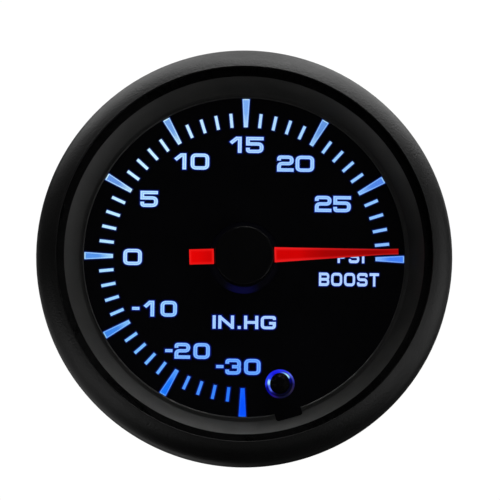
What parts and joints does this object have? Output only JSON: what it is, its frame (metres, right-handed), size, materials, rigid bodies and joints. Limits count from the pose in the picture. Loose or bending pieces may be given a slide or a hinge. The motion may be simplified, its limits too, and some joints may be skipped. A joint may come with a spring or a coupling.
{
  "type": "boost gauge",
  "caption": "Round black panel gauge for boost and vacuum, with a blue-lit dial, red pointer, Bourdon tube movement and rear clamp bracket.",
  "frame": {"origin": "on the gauge's axis, in the plane where the back of the bezel seats on the panel", "axes": "+Y along the axis towards the rear, so the dial faces -Y; +Z towards the top of the dial; +X to the right as one looks at the dial"},
  "size_m": [0.06, 0.0608, 0.06],
  "materials": {
    "bezel_black": "satin black with fine grain",
    "smoked_lens": "clear, lightly smoked, polished",
    "black_rubber": "matt",
    "trim_black": "satin black moulding",
    "housing_black": "semi-matt black enamel",
    "dial_print": "matt black print",
    "dial_light": "translucent, lit blue from behind",
    "peg_black": "glossy black",
    "cap_black": "satin black",
    "pointer_red": "bright red, lit",
    "board_green": "solder mask",
    "lamp_white": "moulded lamp",
    "brass": "turned and milled",
    "tube_bronze": "drawn bronze tube",
    "steel": "turned steel",
    "spring_steel": "blued spring strip",
    "zinc": "bright zinc plate"
  },
  "bodies": {
    "case": {"bezel": "bezel_black", "lens": "smoked_lens", "lens_gasket": "black_rubber", "trim_ring": "trim_black", "dial_mask": "dial_print", "dial_plate": "dial_light", "light_guide": "dial_light", "lamp_board": "board_green", "lamps": "lamp_white", "stop_peg": "peg_black", "hairspring": "spring_steel", "hairspring_stud": "brass", "front_plate": "brass", "back_plate": "brass", "plate_pillars": "brass", "plate_screws": "steel", "socket_screws": "steel", "bourdon_tube": "tube_bronze", "socket_block": "brass", "fitting_washer": "zinc", "fitting_nut": "brass", "hose_nipple": "brass", "housing": "housing_black", "housing_seal": "black_rubber", "wire_grommet": "black_rubber", "mounting_studs": "zinc"},
    "pointer_turner": {"pointer": "pointer_red", "hub_cap": "cap_black", "pointer_arbor": "steel", "hairspring_collet": "brass"},
    "sector": {"sector_gear": "brass", "sector_arbor": "steel", "sector_tail_pin": "steel"},
    "tube_tip": {"tube_tip_block": "brass", "tip_pivot_pin": "steel"},
    "link": {"link_rod": "steel"},
    "clamp": {"clamp_bracket": "zinc", "lock_washers": "zinc"},
    "left_nut": {"left_thumb_nut": "brass"},
    "right_nut": {"right_thumb_nut": "brass"}
  },
  "joints": [
    {"name": "pointer_turn", "type": "hinge", "parent": "case", "child": "pointer_turner", "pos_m": [0, 0, 0], "axis": [0, -1, 0], "range_deg": [-8, 277], "stiffness_Nm_per_rad": 0.0003, "deforming": ["hairspring"]},
    {"name": "sector_turn", "type": "hinge", "parent": "case", "child": "sector", "pos_m": [0, 0, -0.014], "axis": [0, -1, 0], "range_deg": [-31, 1]},
    {"name": "tube_tip_flex", "type": "hinge", "parent": "case", "child": "tube_tip", "pos_m": [0, 0, 0.0075], "axis": [0, -1, 0], "range_deg": [-6.1, 0.3], "deforming": ["bourdon_tube"]},
    {"name": "link_swing", "type": "hinge", "parent": "tube_tip", "child": "link", "pos_m": [0.0155, 0, -0.0125], "axis": [0, -1, 0], "range_deg": [-0.3, 6.4]},
    {"name": "left_nut_turn", "type": "hinge", "parent": "clamp", "child": "left_nut", "pos_m": [-0.016, 0, 0], "axis": [0, -1, 0], "range_deg": [-4120, 1035]},
    {"name": "right_nut_turn", "type": "hinge", "parent": "clamp", "child": "right_nut", "pos_m": [0.016, 0, 0], "axis": [0, -1, 0], "range_deg": [-4120, 1035]},
    {"name": "clamp_slide", "type": "slide", "parent": "case", "child": "clamp", "axis": [0, -1, 0], "range_m": [-0.008, 0.002]}
  ],
  "couplings": [
    {"joint": "sector_turn", "follows": "pointer_turn", "ratio": -0.11111},
    {"joint": "tube_tip_flex", "follows": "pointer_turn", "ratio": -0.0216},
    {"joint": "link_swing", "follows": "pointer_turn", "ratio": 0.0227},
    {"joint": "left_nut_turn", "follows": "clamp_slide", "rad_per_m": 8976},
    {"joint": "right_nut_turn", "follows": "clamp_slide", "rad_per_m": 8976}
  ]
}
